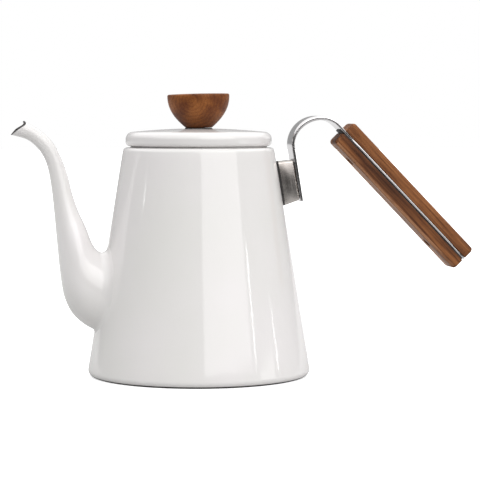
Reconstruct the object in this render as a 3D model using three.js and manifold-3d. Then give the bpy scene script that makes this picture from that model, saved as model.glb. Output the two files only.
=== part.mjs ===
// A gooseneck pour-over kettle: an enamelled pot and spout, a lift-off lid with a
// wooden knob, and a bent steel strap handle with a two-part wooden grip.
// Millimetres, +Z up. The origin is the centre of the pot's underside, the spout
// points along -X and the handle along +X.

import * as THREE from 'three';
import { mergeVertices } from 'three/addons/utils/BufferGeometryUtils.js';
import Module from 'manifold-3d';

const wasm = await Module();
wasm.setup();

// ---------------------------------------------------------------- dimensions

const gap = 0.3; // between pieces that touch on the real kettle
const roundSteps = 40; // facets round the pot and the lid
const smallSteps = 16; // facets round screws and washers
const overrun = 10; // how far a cutting tool runs past what it cuts
const overlap = 0.5; // how far joined solids run into each other
const weld = 1e-4; // points nearer than this are one point

const pot = {
  height: 143.4,
  wall: 1,
  virtualRadius: 70.7, // where the cone would meet the floor
  taper: 0.162, // radius lost for each millimetre of height
  footRadius: 4,
  shoulderRadius: 3,
  mouthRadius: 41,
  mouthBend: 1.6,
  neckDepth: 6,
  seamHeight: 1.2,
};

const base = {
  thickness: 1.2,
  flangeRadius: 66.7,
  flangeHeight: 3.4,
  grooveInner: 48,
  grooveOuter: 60,
  grooveDepth: 0.6,
};

const spout = {
  wall: 1,
  rings: 24,
  sides: 24,
  rootAspect: 0.8, // width over height where the spout leaves the pot
  roundFrom: 0.5, // share of its length after which it is round
  holeRadius: 12,
  holeHeight: 53,
};

const lid = {
  seat: 144.8, // height of the lid's lower edge
  wall: 1,
  radius: 45.9,
  sideTopRadius: 45.3,
  cornerRadius: 4.5,
  cornerHeight: 4.3,
  domeTop: 10.9,
  beadRadius: 1.2,
  beadHeight: 1.9,
  boltHole: 2.4,
  steamHole: 1.5,
  steamHoleOffset: 30,
};

const collar = {
  radius: 40,
  wall: 1,
  depth: 6.8, // below the lid's lower edge
  top: 7.4,
  flangeRadius: 42.9,
  flangeBottom: -1.05,
  flangeTop: -0.1,
};

const knob = {
  base: 12,
  height: 20.8,
  radius: 19.5,
  baseRadius: 8.4,
  flare: [5.7, 4.9], // pull of the side's curve at the base, outwards and up
  sideHeight: 10.2, // above the base, where the side starts to stand upright
  edgeRadius: 0.9,
  washerRadius: 9.6,
  washerThickness: 0.5,
  boreRadius: 3.8,
  boreDepth: 13,
};

const knobBolt = {
  shank: 2,
  length: 15,
  headRadius: 4,
  headHeight: 2.4,
  washerRadius: 6,
  washerThickness: 0.8,
  insertRadius: 3.5,
  insertLength: 9,
};

// The handle's own frame stands on the pot's wall: x points out of the wall,
// z runs up along it.
const handle = {
  height: 121.5, // of the frame's origin, on the wall
  strapWidth: 17,
  strapThickness: 1.8,
  strapOffset: 10.65, // from the wall to the strap
  legBottom: -13.5,
  arcHeight: 20.4,
  arcRadius: 17.3,
  crownExtra: 1.3, // extra thickness at the top of the arc
  slope: THREE.MathUtils.degToRad(46), // of the grip, below level
};

const bracket = {
  width: 18,
  depth: 10.35,
  backReach: 6, // how far inside the wall its outline starts, before it is trimmed
  backTop: 13.4,
  backBottom: -14.6,
  frontTop: 12.7,
  frontBottom: -12.7,
  wall: 1.1,
  gasketThickness: 0.9,
  plateThickness: 2,
  plateMargin: 4, // above and below the bolts
  boltSpacing: 13,
};

const bracketBolt = {
  shank: 1.8,
  length: 8,
  headRadius: 3.6,
  headHeight: 2,
  washerRadius: 4.8,
  washerThickness: 0.8,
};

const rivet = {
  shank: 1.6,
  headRadius: 3,
  headHeight: 1.2,
  tailRadius: 2.6,
  tailHeight: 0.8,
  spacing: 14,
};

const grip = {
  start: 5, // from the end of the strap's arc
  length: 111,
  width: 19,
  halfThickness: 7.4,
  edgeRadius: 1.8,
  spacerThickness: 0.6,
  spacerTab: 2.2,
  tabInset: 2, // how much narrower the tab is on each side
  spacerMargin: 1,
  screwPlaces: [17.2, 90.6],
  screwShank: 1.6,
  screwClearance: 2.2,
  screwHeadRadius: 2.6,
  screwHeadHeight: 2.2,
  recessRadius: 3,
  recessDepth: 4,
  insertRadius: 2.7,
  insertBore: 1.9,
  insertLength: 4.6,
};

const lean = Math.atan(pot.taper);

// ----------------------------------------------------------------- materials

const enamel = () => new THREE.MeshStandardMaterial({ color: 0xf1efeb, roughness: 0.12, metalness: 0 });
const darkEdge = () => new THREE.MeshStandardMaterial({ color: 0x4a413d, roughness: 0.5, metalness: 0.2 });
const polishedSteel = () => new THREE.MeshStandardMaterial({ color: 0xc9c6c2, roughness: 0.18, metalness: 1 });
const brass = () => new THREE.MeshStandardMaterial({ color: 0xb5933f, roughness: 0.35, metalness: 1 });
const rubber = () => new THREE.MeshStandardMaterial({ color: 0x262423, roughness: 0.7, metalness: 0 });
const walnut = () => new THREE.MeshStandardMaterial({ color: 0x7c4e2a, roughness: 0.5, metalness: 0 });

// ------------------------------------------------------------------- helpers

const point = (x, y) => new THREE.Vector2(x, y);

// Points on an arc about (x, y), from one angle to another, both in radians.
function arc(x, y, radius, from, to, steps = 6) {
  return Array.from({ length: steps + 1 }, (_, i) => {
    const angle = THREE.MathUtils.lerp(from, to, i / steps);
    return point(x + radius * Math.cos(angle), y + radius * Math.sin(angle));
  });
}

// Turns a profile of (radius, height) points about the Z axis.
function turned(profile, steps = roundSteps) {
  return new THREE.LatheGeometry(profile, steps).rotateX(Math.PI / 2);
}

// A washer, tube or sleeve: the radius outside and inside, from one height to another.
function sleeve(outer, inner, bottom, top, steps = smallSteps) {
  const profile = [point(inner, bottom), point(outer, bottom), point(outer, top), point(inner, top)];
  return turned([...profile, profile[0].clone()], steps);
}

// A solid disc or rod on the Z axis.
function rod(radius, bottom, top, steps = smallSteps) {
  const geometry = new THREE.CylinderGeometry(radius, radius, top - bottom, steps);
  return geometry.rotateX(Math.PI / 2).translate(0, 0, (bottom + top) / 2);
}

// An outline in the XZ plane, given thickness along Y.
function plate(outline, width) {
  const shape = new THREE.Shape(outline);
  const geometry = new THREE.ExtrudeGeometry(shape, { depth: width, bevelEnabled: false });
  return geometry.rotateX(Math.PI / 2).translate(0, width / 2, 0);
}

// A cross-section in the YZ plane, drawn out along X.
function bar(section, length) {
  const shape = new THREE.Shape(section);
  const geometry = new THREE.ExtrudeGeometry(shape, { depth: length, bevelEnabled: false });
  const axes = new THREE.Matrix4().makeBasis(
    new THREE.Vector3(0, 1, 0),
    new THREE.Vector3(0, 0, 1),
    new THREE.Vector3(1, 0, 0),
  );
  return geometry.applyMatrix4(axes);
}

function box(min, max) {
  const size = max.map((high, i) => high - min[i]);
  const geometry = new THREE.BoxGeometry(...size);
  return geometry.translate(...max.map((high, i) => (high + min[i]) / 2));
}

function toSolid(geometry) {
  const bare = geometry.clone();
  bare.deleteAttribute('normal');
  bare.deleteAttribute('uv');
  const merged = mergeVertices(bare, weld);
  return new wasm.Manifold(new wasm.Mesh({
    numProp: 3,
    vertProperties: merged.attributes.position.array,
    triVerts: new Uint32Array(merged.index.array),
  }));
}

function toGeometry(solid) {
  const mesh = solid.getMesh();
  const geometry = new THREE.BufferGeometry();
  geometry.setAttribute('position', new THREE.BufferAttribute(mesh.vertProperties, 3));
  geometry.setIndex(new THREE.BufferAttribute(mesh.triVerts, 1));
  geometry.computeVertexNormals();
  return geometry;
}

function cut(geometry, ...tools) {
  const solid = tools.reduce((rest, tool) => rest.subtract(toSolid(tool)), toSolid(geometry));
  return toGeometry(solid);
}

function common(a, b) {
  return toGeometry(toSolid(a).intersect(toSolid(b)));
}

function joined(...pieces) {
  return toGeometry(pieces.map(toSolid).reduce((all, piece) => all.add(piece)));
}

function mesh(name, geometry, material) {
  const piece = new THREE.Mesh(geometry, material);
  piece.name = name;
  return piece;
}

// ----------------------------------------------------------------------- pot

// Radius of the cone at a height, moved inwards by an inset square to the wall.
function coneRadius(height, inset = 0) {
  return pot.virtualRadius - pot.taper * height - inset * Math.hypot(1, pot.taper);
}

// The pot's outside grown by an amount, as a plain tool for trimming neighbours.
function potEnvelope(growth) {
  const bottom = -overrun;
  const top = pot.height + overrun;
  return turned([
    point(0, bottom),
    point(coneRadius(bottom, -growth), bottom),
    point(coneRadius(top, -growth), top),
    point(0, top),
  ]);
}

const footCentre = point(coneRadius(pot.footRadius, pot.footRadius), pot.footRadius);

// Angle on the foot's round at which a circle of the given radius reaches a height.
function footAngle(height, radius = pot.footRadius) {
  return Math.asin((height - pot.footRadius) / radius);
}

function bodyShell() {
  const inner = pot.footRadius - pot.wall;
  const shoulderHeight = pot.height - pot.shoulderRadius;
  const shoulderCentre = coneRadius(shoulderHeight, pot.shoulderRadius);
  const bendCentre = pot.mouthRadius + pot.mouthBend;
  const bendHeight = pot.height - pot.mouthBend;
  const neckEnd = pot.height - pot.neckDepth;
  const outside = [
    ...arc(footCentre.x, footCentre.y, pot.footRadius, footAngle(pot.seamHeight), lean, 4),
    ...arc(shoulderCentre, shoulderHeight, pot.shoulderRadius, lean, Math.PI / 2, 4),
    ...arc(bendCentre, bendHeight, pot.mouthBend, Math.PI / 2, Math.PI, 3),
    point(pot.mouthRadius, neckEnd),
  ];
  const inside = [
    point(pot.mouthRadius + pot.wall, neckEnd),
    ...arc(bendCentre, bendHeight, pot.mouthBend - pot.wall, Math.PI, Math.PI / 2, 3),
    ...arc(shoulderCentre, shoulderHeight, pot.shoulderRadius - pot.wall, Math.PI / 2, lean, 4),
    ...arc(footCentre.x, footCentre.y, inner, lean, footAngle(pot.seamHeight, inner), 4),
  ];
  const shell = turned([...outside, ...inside, outside[0].clone()]);
  const spoutHole = rod(spout.holeRadius, 0, pot.virtualRadius, spout.sides)
    .rotateY(-Math.PI / 2)
    .translate(0, 0, spout.holeHeight);
  const toKettle = placeOnWall(new THREE.Object3D()).matrix;
  const boltHoles = boltHeights().map((height) => boltHole(height).applyMatrix4(toKettle));
  return cut(shell, spoutHole, ...boltHoles);
}

function basePlate() {
  const rimTop = pot.seamHeight - gap;
  const slant = base.grooveDepth;
  const underside = [
    point(0, 0),
    point(base.grooveInner, 0),
    point(base.grooveInner + slant, base.grooveDepth),
    point(base.grooveOuter - slant, base.grooveDepth),
    point(base.grooveOuter, 0),
    ...arc(footCentre.x, footCentre.y, pot.footRadius, -Math.PI / 2, footAngle(rimTop), 4),
  ];
  const topside = [
    point(base.flangeRadius, rimTop),
    point(base.flangeRadius, base.flangeHeight),
    point(base.flangeRadius - base.thickness, base.flangeHeight),
    point(base.flangeRadius - base.thickness, base.thickness),
    point(base.grooveOuter, base.thickness),
    point(base.grooveOuter - slant, base.thickness + base.grooveDepth),
    point(base.grooveInner + slant, base.thickness + base.grooveDepth),
    point(base.grooveInner, base.thickness),
    point(0, base.thickness),
  ];
  return turned([...underside, ...topside]);
}

// --------------------------------------------------------------------- spout

// The two edges of the spout in side view, from inside the pot to the mouth.
const spoutBack = [
  [-57, 27], [-69, 31], [-79.5, 39.5], [-84.8, 50], [-87, 61.5], [-88.4, 74], [-89.7, 88.5],
  [-91.2, 105.5], [-93, 121.5], [-95.8, 134.6], [-100.7, 143.2], [-107.2, 149], [-117.6, 152.5],
];
const spoutFront = [
  [-50, 77], [-60.5, 77.4], [-65.4, 80.8], [-68.2, 85.5], [-70.4, 91.5], [-73.2, 98], [-76.4, 105],
  [-79.9, 115.5], [-82.6, 126.5], [-86.2, 137], [-92.2, 147.8], [-100.3, 155.2], [-109.4, 160.2],
];

function edgeCurve(points) {
  return new THREE.CatmullRomCurve3(points.map(([x, z]) => new THREE.Vector3(x, 0, z)));
}

// One oval ring of the spout, between its two edges, pulled in by an inset.
function spoutRing(back, front, along, inset) {
  const centre = back.clone().lerp(front, 0.5);
  const rise = front.clone().sub(centre);
  const half = rise.length();
  const roundness = THREE.MathUtils.smoothstep(along, 0, spout.roundFrom);
  const aspect = THREE.MathUtils.lerp(spout.rootAspect, 1, roundness);
  rise.setLength(half - inset);
  const width = half * aspect - inset;
  return Array.from({ length: spout.sides }, (_, i) => {
    const angle = (2 * Math.PI * i) / spout.sides;
    const place = centre.clone().addScaledVector(rise, Math.cos(angle));
    return place.setY(width * Math.sin(angle));
  });
}

// Joins rings of points into a closed skin, the last ring to the first.
function skin(rings) {
  const sides = rings[0].length;
  const indices = rings.flatMap((_, r) => rings[r].flatMap((__, s) => {
    const here = r * sides + s;
    const beside = r * sides + ((s + 1) % sides);
    const next = ((r + 1) % rings.length) * sides + s;
    const across = ((r + 1) % rings.length) * sides + ((s + 1) % sides);
    return [here, beside, across, here, across, next];
  }));
  const geometry = new THREE.BufferGeometry().setFromPoints(rings.flat());
  geometry.setIndex(indices);
  geometry.computeVertexNormals();
  return geometry;
}

function spoutTube() {
  const back = edgeCurve(spoutBack);
  const front = edgeCurve(spoutFront);
  const ringAt = (i, inset) => {
    const along = i / spout.rings;
    return spoutRing(back.getPoint(along), front.getPoint(along), along, inset);
  };
  const steps = Array.from({ length: spout.rings + 1 }, (_, i) => i);
  const outside = steps.map((i) => ringAt(i, 0));
  const inside = steps.map((i) => ringAt(i, spout.wall)).reverse();
  return cut(skin([...outside, ...inside]), potEnvelope(gap));
}

// ----------------------------------------------------------------------- lid

function lidShell() {
  const { wall, cornerRadius, cornerHeight, sideTopRadius } = lid;
  const cornerCentre = sideTopRadius - cornerRadius;
  const cornerTop = cornerHeight + cornerRadius;
  const rise = lid.domeTop - cornerTop;
  const domeRadius = (cornerCentre ** 2 + rise ** 2) / (2 * rise);
  const domeHeight = (radius) => lid.domeTop - domeRadius + Math.sqrt(domeRadius ** 2 - radius ** 2);
  const domeRadii = [lid.boltHole, lid.radius / 3, (2 * lid.radius) / 3];
  const beadCentre = lid.radius - lid.beadRadius;
  const outside = [
    ...domeRadii.map((radius) => point(radius, domeHeight(radius))),
    ...arc(cornerCentre, cornerHeight, cornerRadius, Math.PI / 2, 0, 5),
    ...arc(beadCentre, lid.beadHeight, lid.beadRadius, 0, -Math.PI, 6),
  ];
  const inside = [
    ...arc(cornerCentre, cornerHeight, cornerRadius - wall, 0, Math.PI / 2, 5),
    ...domeRadii.map((radius) => point(radius, domeHeight(radius) - wall)).reverse(),
  ];
  const shell = turned([...outside, ...inside, outside[0].clone()].reverse());
  return cut(shell, rod(lid.steamHole, 0, lid.domeTop + overrun).translate(0, lid.steamHoleOffset, 0));
}

function lidCollar() {
  const inner = collar.radius - collar.wall;
  const profile = [
    point(inner, -collar.depth),
    point(collar.radius, -collar.depth),
    point(collar.radius, collar.flangeBottom),
    point(collar.flangeRadius, collar.flangeBottom),
    point(collar.flangeRadius, collar.flangeTop),
    point(collar.radius, collar.flangeTop),
    point(collar.radius, collar.top),
    point(inner, collar.top),
  ];
  return turned([...profile, profile[0].clone()]);
}

function lidKnob() {
  const edgeStart = knob.base + knob.height - knob.edgeRadius;
  const side = new THREE.CubicBezierCurve(
    point(knob.baseRadius, knob.base),
    point(knob.baseRadius + knob.flare[0], knob.base + knob.flare[1]),
    point(knob.radius, knob.base + knob.sideHeight),
    point(knob.radius, edgeStart),
  );
  const boreTop = knob.base + knob.boreDepth;
  const outline = [
    point(0, boreTop),
    point(knob.boreRadius, boreTop),
    point(knob.boreRadius, knob.base),
    ...side.getPoints(10),
    ...arc(knob.radius - knob.edgeRadius, edgeStart, knob.edgeRadius, 0, Math.PI / 2, 3).slice(1),
    point(0, knob.base + knob.height),
  ];
  return turned(outline);
}

function makeLid() {
  const group = new THREE.Group();
  group.position.z = lid.seat;
  const washerBottom = lid.domeTop + gap;
  const washerTop = washerBottom + knob.washerThickness;
  const underLid = lid.domeTop - lid.wall - 2 * gap;
  const headTop = underLid - knobBolt.washerThickness - gap;
  const boltOuter = knobBolt.shank + gap;
  const insertBottom = knob.base + 2 * gap;
  const insertTop = insertBottom + knobBolt.insertLength;
  const bolt = joined(
    rod(knobBolt.shank, headTop - overlap, headTop + knobBolt.length),
    rod(knobBolt.headRadius, headTop - knobBolt.headHeight, headTop),
  );
  group.add(
    mesh('lid_shell', lidShell(), enamel()),
    mesh('lid_collar', lidCollar(), enamel()),
    mesh('lid_knob', lidKnob(), walnut()),
    mesh('knob_washer', sleeve(knob.washerRadius, boltOuter, washerBottom, washerTop, roundSteps), rubber()),
    mesh('knob_insert', sleeve(knobBolt.insertRadius, boltOuter, insertBottom, insertTop), brass()),
    mesh('knob_screw', bolt, polishedSteel()),
    mesh('knob_screw_washer',
      sleeve(knobBolt.washerRadius, boltOuter, underLid - knobBolt.washerThickness, underLid), polishedSteel()),
  );
  return group;
}

// -------------------------------------------------------------------- handle

const wallPoint = new THREE.Vector3(coneRadius(handle.height), 0, handle.height);

// Where the handle's frame stands in the kettle.
function placeOnWall(object) {
  object.position.copy(wallPoint);
  object.rotation.y = -lean;
  object.updateMatrix();
  return object;
}

// Turns a rod on the Z axis to point out of the wall at a height of the handle's frame.
function outOfWall(geometry, height) {
  return geometry.rotateY(Math.PI / 2).translate(0, 0, height);
}

// A tool for the hole of one of the bracket's bolts, in the handle's frame.
function boltHole(height) {
  return outOfWall(rod(bracketBolt.shank + gap, -overrun, overrun), height);
}

// A tool for the hole of one of the strap's rivets.
function rivetHole(height) {
  return outOfWall(rod(rivet.shank + gap, handle.strapOffset - overrun, handle.strapOffset + overrun), height);
}

function boltHeights() {
  return [bracket.boltSpacing / 2, -bracket.boltSpacing / 2];
}

// The pot's outside, grown by an amount, seen from the handle's frame.
function wallTool(growth) {
  const toFrame = placeOnWall(new THREE.Object3D()).matrix.clone().invert();
  return potEnvelope(growth).applyMatrix4(toFrame);
}

function bracketOutline(inset) {
  const back = -bracket.backReach;
  return [
    point(back, bracket.backBottom + inset),
    point(bracket.depth - inset, bracket.frontBottom + inset),
    point(bracket.depth - inset, bracket.frontTop - inset),
    point(back, bracket.backTop - inset),
  ];
}

function bracketGasket() {
  const block = plate(bracketOutline(0), bracket.width);
  const ring = cut(block, wallTool(gap), ...boltHeights().map(boltHole));
  return common(ring, wallTool(gap + bracket.gasketThickness));
}

function bracketBox() {
  const hollow = plate(bracketOutline(bracket.wall), bracket.width - 2 * bracket.wall);
  const body = cut(plate(bracketOutline(0), bracket.width), hollow);
  return cut(body, wallTool(2 * gap + bracket.gasketThickness), ...rivetHeights().map(rivetHole));
}

function nutPlate() {
  const back = 2 * gap + bracket.gasketThickness;
  const halfHeight = bracket.boltSpacing / 2 + bracket.plateMargin;
  const halfWidth = bracket.width / 2 - bracket.wall - gap;
  const block = box([back, -halfWidth, -halfHeight], [back + bracket.plateThickness, halfWidth, halfHeight]);
  return cut(block, ...boltHeights().map(boltHole));
}

function bracketScrew() {
  const head = -pot.wall - 2 * gap - bracketBolt.washerThickness - gap;
  return joined(
    rod(bracketBolt.shank, head - overlap, head + bracketBolt.length),
    rod(bracketBolt.headRadius, head - bracketBolt.headHeight, head),
  );
}

function bracketWasher() {
  const top = -pot.wall - 2 * gap;
  return sleeve(bracketBolt.washerRadius, bracketBolt.shank + gap, top - bracketBolt.washerThickness, top);
}

function rivetHeights() {
  return [rivet.spacing / 2, -rivet.spacing / 2];
}

// A rivet through strap and bracket, with a domed head outside and a flat one inside.
function handleRivet() {
  const outer = handle.strapOffset + handle.strapThickness + gap;
  const inner = bracket.depth - bracket.wall - gap;
  const dome = arc(0, outer, rivet.headHeight, 0, Math.PI / 2)
    .map((p) => point((p.x * rivet.headRadius) / rivet.headHeight, p.y));
  const profile = [
    point(0, inner - rivet.tailHeight),
    point(rivet.tailRadius, inner - rivet.tailHeight),
    point(rivet.tailRadius, inner),
    point(rivet.shank, inner),
    point(rivet.shank, outer),
    ...dome.slice(0, -1),
    point(0, outer + rivet.headHeight),
  ];
  return turned(profile, smallSteps);
}

const arcTurn = Math.PI / 2 + lean + handle.slope; // from the leg round to the grip
const arcCentre = point(handle.strapOffset + handle.arcRadius, handle.arcHeight);
const arcEnd = arc(arcCentre.x, arcCentre.y, handle.arcRadius, Math.PI, Math.PI - arcTurn, 1)[1];

function strapOutline() {
  const steps = 24;
  const run = grip.start + grip.length - grip.spacerMargin;
  const direction = point(Math.sin(Math.PI - arcTurn), -Math.cos(Math.PI - arcTurn));
  const inwards = point(-Math.cos(Math.PI - arcTurn), -Math.sin(Math.PI - arcTurn));
  const outside = arc(arcCentre.x, arcCentre.y, handle.arcRadius, Math.PI, Math.PI - arcTurn, steps);
  const inside = outside.map((p, i) => {
    const thickness = handle.strapThickness + handle.crownExtra * Math.sin((Math.PI * i) / steps) ** 2;
    return p.clone().sub(arcCentre).setLength(handle.arcRadius - thickness).add(arcCentre);
  });
  const end = outside[steps].clone().addScaledVector(direction, run);
  return [
    point(handle.strapOffset, handle.legBottom),
    ...outside,
    end,
    end.clone().addScaledVector(inwards, handle.strapThickness),
    ...inside.reverse(),
    point(handle.strapOffset + handle.strapThickness, handle.legBottom),
  ];
}

// Where the grip's frame stands in the handle's frame: x runs down the straight
// part of the strap from the end of its arc, z points away from its outer face.
function placeOnGrip(object) {
  object.position.set(arcEnd.x, 0, arcEnd.y);
  object.rotation.y = lean + handle.slope;
  object.updateMatrix();
  return object;
}

function handleStrap() {
  const toHandle = placeOnGrip(new THREE.Object3D()).matrix;
  const screwHoles = grip.screwPlaces.map((place) => (
    rod(grip.screwClearance, -overrun, overrun).translate(grip.start + place, 0, 0).applyMatrix4(toHandle)
  ));
  return cut(plate(strapOutline(), handle.strapWidth), ...screwHoles, ...rivetHeights().map(rivetHole));
}

function makeHandle() {
  const group = placeOnWall(new THREE.Group());
  group.add(
    mesh('bracket_gasket', bracketGasket(), rubber()),
    mesh('handle_bracket', bracketBox(), polishedSteel()),
    mesh('bracket_nut_plate', nutPlate(), polishedSteel()),
    mesh('handle_strap', handleStrap(), polishedSteel()),
  );
  ['upper', 'lower'].forEach((place, i) => {
    group.add(
      mesh(`bracket_screw_${place}`, outOfWall(bracketScrew(), boltHeights()[i]), polishedSteel()),
      mesh(`bracket_screw_washer_${place}`, outOfWall(bracketWasher(), boltHeights()[i]), rubber()),
      mesh(`handle_rivet_${place}`, outOfWall(handleRivet(), rivetHeights()[i]), polishedSteel()),
    );
  });
  group.add(makeGrip());
  return group;
}

// ---------------------------------------------------------------------- grip

// Cross-section of one wooden half: flat on the strap, rounded on its far side.
function gripSection() {
  const half = grip.width / 2;
  const corner = half - grip.edgeRadius;
  const top = grip.halfThickness - grip.edgeRadius;
  return [
    point(-half, 0),
    point(half, 0),
    ...arc(corner, top, grip.edgeRadius, 0, Math.PI / 2, 5),
    ...arc(-corner, top, grip.edgeRadius, Math.PI / 2, Math.PI, 5),
  ];
}

function gripUpper() {
  const bores = grip.screwPlaces.map((place) => (
    rod(grip.insertRadius + gap, -overrun, grip.insertLength + 3 * gap).translate(place, 0, 0)
  ));
  return cut(bar(gripSection(), grip.length), ...bores);
}

function gripLower() {
  const below = gripSection().map((p) => point(-p.x, -p.y));
  const holes = grip.screwPlaces.flatMap((place) => [
    rod(grip.screwClearance, -overrun, overrun).translate(place, 0, 0),
    rod(grip.recessRadius, -overrun, grip.recessDepth - grip.halfThickness).translate(place, 0, 0),
  ]);
  return cut(bar(below, grip.length), ...holes);
}

function gripSpacer() {
  const half = handle.strapWidth / 2;
  const strip = box([0, -half, -grip.spacerThickness], [grip.length - grip.spacerMargin, half, 0]);
  const tabHalf = half - grip.tabInset;
  const tab = box([-grip.spacerTab, -tabHalf, -grip.spacerThickness], [overlap, tabHalf, 0]);
  const hole = () => rod(grip.screwClearance, -overrun, overrun);
  const holes = grip.screwPlaces.map((place) => hole().translate(place, 0, 0));
  return cut(joined(strip, tab), ...holes);
}

function gripScrew(headTop, tip) {
  return joined(
    rod(grip.screwShank, headTop - overlap, tip),
    rod(grip.screwHeadRadius, headTop - grip.screwHeadHeight, headTop),
  );
}

function makeGrip() {
  const group = placeOnGrip(new THREE.Group());
  const spacerTop = -handle.strapThickness - gap;
  const lowerTop = spacerTop - grip.spacerThickness - gap;
  const headTop = lowerTop - grip.halfThickness + grip.recessDepth - gap;
  const insertBottom = 2 * gap;
  const insertTop = insertBottom + grip.insertLength;
  const upper = mesh('grip_upper', gripUpper(), walnut());
  const lower = mesh('grip_lower', gripLower(), walnut());
  const spacer = mesh('grip_spacer', gripSpacer(), rubber());
  upper.position.set(grip.start, 0, gap);
  lower.position.set(grip.start, 0, lowerTop);
  spacer.position.set(grip.start, 0, spacerTop);
  group.add(upper, lower, spacer);
  ['front', 'rear'].forEach((end, i) => {
    const screw = mesh(`grip_screw_${end}`, gripScrew(headTop, insertTop - gap), polishedSteel());
    const insert = mesh(`grip_insert_${end}`,
      sleeve(grip.insertRadius, grip.insertBore, insertBottom, insertTop), brass());
    screw.position.x = grip.start + grip.screwPlaces[i];
    insert.position.x = grip.start + grip.screwPlaces[i];
    group.add(screw, insert);
  });
  return group;
}

// ------------------------------------------------------------------ assembly

const kettle = new THREE.Group();
kettle.add(
  mesh('body_shell', bodyShell(), enamel()),
  mesh('base_plate', basePlate(), darkEdge()),
  mesh('spout', spoutTube(), enamel()),
  makeLid(),
  makeHandle(),
);

export default kettle;
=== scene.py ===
import math
import bmesh
import bpy
import numpy as np
from mathutils import Euler, Matrix, Vector


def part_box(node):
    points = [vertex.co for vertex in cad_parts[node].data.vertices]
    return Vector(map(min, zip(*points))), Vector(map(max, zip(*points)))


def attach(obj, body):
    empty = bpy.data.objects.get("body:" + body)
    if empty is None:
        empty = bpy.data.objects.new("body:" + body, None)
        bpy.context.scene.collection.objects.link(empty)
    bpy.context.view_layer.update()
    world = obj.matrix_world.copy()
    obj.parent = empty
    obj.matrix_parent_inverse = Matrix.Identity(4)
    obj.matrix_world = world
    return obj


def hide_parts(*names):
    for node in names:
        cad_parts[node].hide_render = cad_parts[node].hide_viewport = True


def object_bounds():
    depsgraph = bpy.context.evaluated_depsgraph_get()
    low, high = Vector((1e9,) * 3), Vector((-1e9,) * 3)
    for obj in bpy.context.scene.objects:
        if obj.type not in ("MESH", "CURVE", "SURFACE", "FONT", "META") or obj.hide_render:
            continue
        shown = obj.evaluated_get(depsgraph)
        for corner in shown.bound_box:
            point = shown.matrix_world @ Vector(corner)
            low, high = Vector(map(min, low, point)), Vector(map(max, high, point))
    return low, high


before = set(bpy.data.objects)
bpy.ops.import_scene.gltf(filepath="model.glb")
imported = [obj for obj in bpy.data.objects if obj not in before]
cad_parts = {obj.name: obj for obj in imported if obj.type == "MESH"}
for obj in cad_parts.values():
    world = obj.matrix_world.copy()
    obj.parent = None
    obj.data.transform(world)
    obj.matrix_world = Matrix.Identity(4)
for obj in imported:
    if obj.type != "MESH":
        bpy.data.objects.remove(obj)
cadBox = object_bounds()
print("frame loaded:", len(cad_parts), "nodes")

mm = 0.001  # every size below is in millimetres unless it says otherwise
weld = 1e-7  # metres; points nearer than this become one


def nodeBox(name):
    low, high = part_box(name)
    return np.array(low) / mm, np.array(high) / mm


# ---- shared sizes, taken from the frame where it has them

pot = {
    "height": nodeBox("body_shell")[1][2] + 0.4,
    "wall": 1.0,
    "coneRadius": 70.7,  # where the cone would meet the table
    "taper": 0.162,  # radius lost for each millimetre of height
    "footRadius": 4.0,
    "shoulderRadius": 3.0,
    "mouthRadius": 41.0,
    "mouthBend": 1.6,
    "neckDepth": 6.0,
    "seamHeight": 1.2,
    "facets": 192,
}
lean = math.atan(pot["taper"])
slant = math.hypot(1, pot["taper"])


def coneRadius(height, inset=0.0):
    return pot["coneRadius"] - pot["taper"] * height - inset * slant


# ---- geometry nodes: a turned skin, and fixings on points


def newTree(name, inputs):
    tree = bpy.data.node_groups.new(name, "GeometryNodeTree")
    tree.is_modifier = True
    sockets = tree.interface
    sockets.new_socket("Geometry", in_out="INPUT", socket_type="NodeSocketGeometry")
    for label, kind in [*inputs, ("Material", "Material")]:
        sockets.new_socket(label, in_out="INPUT", socket_type="NodeSocket" + kind)
    sockets.new_socket("Geometry", in_out="OUTPUT", socket_type="NodeSocketGeometry")
    return tree, tree.nodes.new("NodeGroupInput"), tree.nodes.new("NodeGroupOutput")


def linkAll(tree, *links):
    for source, output, target, place in links:
        tree.links.new(source.outputs[output], target.inputs[place])


def closeTree(tree, last, output, groupIn, groupOut):
    realize = tree.nodes.new("GeometryNodeRealizeInstances")
    finish = tree.nodes.new("GeometryNodeSetMaterial")
    linkAll(
        tree,
        (last, output, realize, "Geometry"),
        (realize, "Geometry", finish, "Geometry"),
        (groupIn, "Material", finish, "Material"),
        (finish, "Geometry", groupOut, "Geometry"),
    )
    return tree


def makeTurnedTree():
    tree, groupIn, groupOut = newTree("turnedSkin", [("Facets", "Int"), ("Core", "Float")])
    profile = tree.nodes.new("GeometryNodeMeshToCurve")
    circle = tree.nodes.new("GeometryNodeCurvePrimitiveCircle")
    sweep = tree.nodes.new("GeometryNodeCurveToMesh")
    merge = tree.nodes.new("GeometryNodeMergeByDistance")
    merge.inputs["Distance"].default_value = weld
    linkAll(
        tree,
        (groupIn, "Geometry", profile, "Mesh"),
        (groupIn, "Facets", circle, "Resolution"),
        (groupIn, "Core", circle, "Radius"),
        (circle, "Curve", sweep, "Curve"),
        (profile, "Curve", sweep, "Profile Curve"),
        (sweep, "Mesh", merge, "Geometry"),
    )
    return closeTree(tree, merge, "Geometry", groupIn, groupOut)


def makeFixingsTree():
    tree, groupIn, groupOut = newTree("fixings", [("Fixing", "Object"), ("Turn", "Rotation")])
    info = tree.nodes.new("GeometryNodeObjectInfo")
    place = tree.nodes.new("GeometryNodeInstanceOnPoints")
    linkAll(
        tree,
        (groupIn, "Fixing", info, "Object"),
        (groupIn, "Geometry", place, "Points"),
        (info, "Geometry", place, "Instance"),
        (groupIn, "Turn", place, "Rotation"),
    )
    return closeTree(tree, place, "Instances", groupIn, groupOut)


turnedTree = makeTurnedTree()
fixingsTree = makeFixingsTree()


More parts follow.
